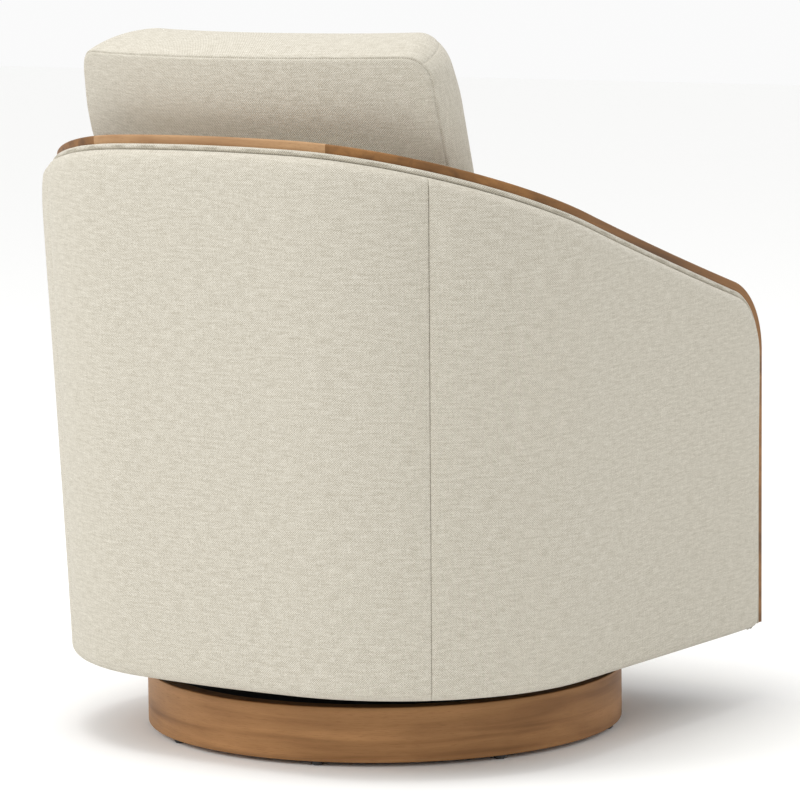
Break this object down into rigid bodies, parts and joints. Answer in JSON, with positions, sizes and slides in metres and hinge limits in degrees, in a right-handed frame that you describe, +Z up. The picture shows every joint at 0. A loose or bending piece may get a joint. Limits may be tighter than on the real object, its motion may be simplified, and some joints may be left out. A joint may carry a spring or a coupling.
{
  "type": "swivel barrel chair",
  "caption": "Cream upholstered barrel chair with loose seat and back cushions, a bent wood rim and a round wood swivel plinth.",
  "frame": {"origin": "on the floor under the swivel axis, at the middle of the chair's footprint", "axes": "+Z up, the chair faces -Y, +X is the sitter's left"},
  "size_m": [0.6862, 0.6822, 0.804],
  "materials": {
    "fabric": "matte",
    "light_wood": "satin",
    "walnut_veneer": "satin",
    "black_board": "matte",
    "black_nylon": "matte",
    "zinc_steel": "satin",
    "plywood": "raw",
    "fibreboard": "raw",
    "black_cloth": "matte",
    "webbing": "woven"
  },
  "bodies": {
    "base": {"plinth_ring": "walnut_veneer", "plinth_top_board": "black_board", "plinth_glue_blocks": "plywood", "floor_glides": "black_nylon", "swivel_lower_plate": "zinc_steel", "swivel_balls": "zinc_steel", "swivel_ball_cage": "zinc_steel", "king_rivet": "zinc_steel", "lower_plate_screws": "zinc_steel"},
    "chair": {"swivel_upper_plate": "zinc_steel", "upper_plate_bolts": "zinc_steel", "upper_plate_nuts": "zinc_steel", "bottom_board": "plywood", "dust_cover": "black_cloth", "seat_webbing": "webbing", "seat_deck": "fabric", "rim_welt": "fabric", "back_top_rail": "plywood", "seat_front_rail": "plywood", "seat_side_rail_left": "plywood", "seat_side_rail_right": "plywood", "seat_back_rail": "plywood", "seat_corner_blocks": "plywood", "inner_back_pad": "fabric", "inner_back_board": "fibreboard", "front_cover": "fabric", "front_board": "fibreboard", "wood_trim_back": "light_wood", "outer_back_cover": "fabric", "outer_back_board": "fibreboard", "arm_top_rail_left": "plywood", "arm_front_post_left": "plywood", "arm_post_left": "plywood", "corner_post_left": "plywood", "back_post_left": "plywood", "inner_arm_pad_left": "fabric", "outer_left_cover": "fabric", "outer_left_board": "fibreboard", "wood_trim_arm_left": "light_wood", "arm_top_rail_right": "plywood", "arm_front_post_right": "plywood", "arm_post_right": "plywood", "corner_post_right": "plywood", "back_post_right": "plywood", "inner_arm_pad_right": "fabric", "outer_right_cover": "fabric", "outer_right_board": "fibreboard", "wood_trim_arm_right": "light_wood"},
    "seat": {"seat_cushion": "fabric"},
    "back": {"back_cushion": "fabric"}
  },
  "joints": [
    {"name": "swivel", "type": "hinge", "parent": "base", "child": "chair", "pos_m": [0, 0, 0.0783], "axis": [0, 0, 1], "continuous": true},
    {"name": "seat_cushion_lift", "type": "slide", "parent": "chair", "child": "seat", "axis": [0, 0, 1], "range_m": [0, 0.06]},
    {"name": "back_cushion_lift", "type": "slide", "parent": "seat", "child": "back", "axis": [0, 0.2689, 0.9632], "range_m": [0, 0.3]}
  ]
}
